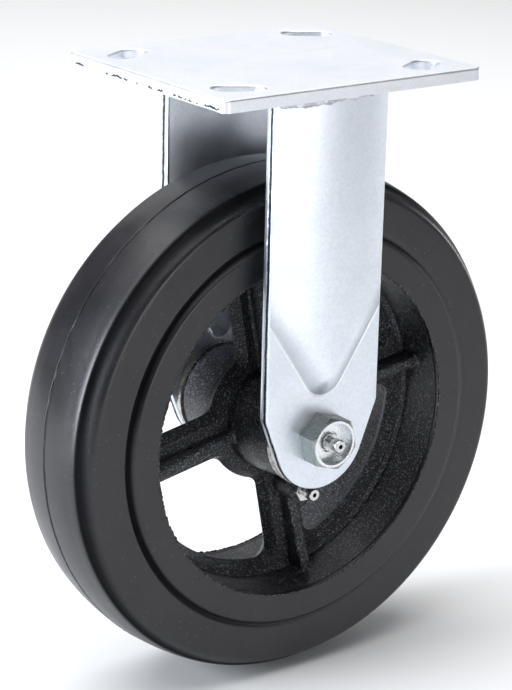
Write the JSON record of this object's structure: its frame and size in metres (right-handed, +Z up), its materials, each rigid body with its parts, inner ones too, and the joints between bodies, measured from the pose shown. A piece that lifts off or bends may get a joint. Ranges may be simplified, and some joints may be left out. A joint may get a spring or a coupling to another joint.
{
  "type": "fixed castor",
  "caption": "Rigid plate castor: a slotted top plate on pressed steel legs, and a spoked iron wheel with a moulded rubber tyre turning on a roller bearing.",
  "frame": {"origin": "centre of the top plate's top face", "axes": "+Z up, out of the plate's top face; Y along the axle, the bolt's head at -Y; X along the plate's longer side, the way the wheel rolls"},
  "size_m": [0.2032, 0.1033, 0.2413],
  "materials": {
    "plate_zinc": "bright zinc plating, fine mottling",
    "leg_zinc": "bright zinc plating, satin",
    "weld_zinc": "weld bead under zinc plating",
    "bolt_zinc": "greyer zinc plating, turned recess",
    "nipple_zinc": "bright plating with a yellowish tint",
    "plain_steel": "ground or turned steel, greased",
    "insert_plastic": "plain",
    "cage_plastic": "moulded, greased",
    "black_iron": "rough casting under gloss black paint",
    "tyre_rubber": "moulded black rubber, satin"
  },
  "bodies": {
    "fork": {"top_plate": "plate_zinc", "front_leg": "leg_zinc", "rear_leg": "leg_zinc", "front_leg_weld": "weld_zinc", "rear_leg_weld": "weld_zinc", "axle_bolt": "bolt_zinc", "axle_grease_nipple": "nipple_zinc", "axle_nipple_ball": "plain_steel", "axle_nipple_spring": "plain_steel", "lock_nut": "bolt_zinc", "lock_nut_insert": "insert_plastic", "spanner_bushing": "plain_steel", "front_thrust_washer": "plain_steel", "rear_thrust_washer": "plain_steel"},
    "wheel": {"wheel_core": "black_iron", "tyre": "tyre_rubber", "hub_grease_nipple": "nipple_zinc", "hub_nipple_ball": "plain_steel", "hub_nipple_spring": "plain_steel"},
    "cage": {"roller_cage": "cage_plastic"},
    "roller_body_1": {"roller_1": "plain_steel"},
    "roller_body_2": {"roller_2": "plain_steel"},
    "roller_body_3": {"roller_3": "plain_steel"},
    "roller_body_4": {"roller_4": "plain_steel"},
    "roller_body_5": {"roller_5": "plain_steel"},
    "roller_body_6": {"roller_6": "plain_steel"},
    "roller_body_7": {"roller_7": "plain_steel"},
    "roller_body_8": {"roller_8": "plain_steel"}
  },
  "joints": [
    {"name": "wheel_spin", "type": "hinge", "parent": "fork", "child": "wheel", "pos_m": [0, 0, -0.1397], "axis": [0, 1, 0], "continuous": true},
    {"name": "cage_spin", "type": "hinge", "parent": "fork", "child": "cage", "pos_m": [0, 0, -0.1397], "axis": [0, 1, 0], "continuous": true},
    {"name": "roller_1_spin", "type": "hinge", "parent": "cage", "child": "roller_body_1", "pos_m": [0, 0, -0.1274], "axis": [0, 1, 0], "continuous": true},
    {"name": "roller_2_spin", "type": "hinge", "parent": "cage", "child": "roller_body_2", "pos_m": [0.0087, 0, -0.131], "axis": [0, 1, 0], "continuous": true},
    {"name": "roller_3_spin", "type": "hinge", "parent": "cage", "child": "roller_body_3", "pos_m": [0.0123, 0, -0.1397], "axis": [0, 1, 0], "continuous": true},
    {"name": "roller_4_spin", "type": "hinge", "parent": "cage", "child": "roller_body_4", "pos_m": [0.0087, 0, -0.1484], "axis": [0, 1, 0], "continuous": true},
    {"name": "roller_5_spin", "type": "hinge", "parent": "cage", "child": "roller_body_5", "pos_m": [0, 0, -0.152], "axis": [0, 1, 0], "continuous": true},
    {"name": "roller_6_spin", "type": "hinge", "parent": "cage", "child": "roller_body_6", "pos_m": [-0.0087, 0, -0.1484], "axis": [0, 1, 0], "continuous": true},
    {"name": "roller_7_spin", "type": "hinge", "parent": "cage", "child": "roller_body_7", "pos_m": [-0.0123, 0, -0.1397], "axis": [0, 1, 0], "continuous": true},
    {"name": "roller_8_spin", "type": "hinge", "parent": "cage", "child": "roller_body_8", "pos_m": [-0.0087, 0, -0.131], "axis": [0, 1, 0], "continuous": true}
  ],
  "couplings": [
    {"joint": "cage_spin", "follows": "wheel_spin", "ratio": 0.61288},
    {"joint": "roller_1_spin", "follows": "wheel_spin", "ratio": 2.1018},
    {"joint": "roller_2_spin", "follows": "wheel_spin", "ratio": 2.1018},
    {"joint": "roller_3_spin", "follows": "wheel_spin", "ratio": 2.1018},
    {"joint": "roller_4_spin", "follows": "wheel_spin", "ratio": 2.1018},
    {"joint": "roller_5_spin", "follows": "wheel_spin", "ratio": 2.1018},
    {"joint": "roller_6_spin", "follows": "wheel_spin", "ratio": 2.1018},
    {"joint": "roller_7_spin", "follows": "wheel_spin", "ratio": 2.1018},
    {"joint": "roller_8_spin", "follows": "wheel_spin", "ratio": 2.1018}
  ]
}
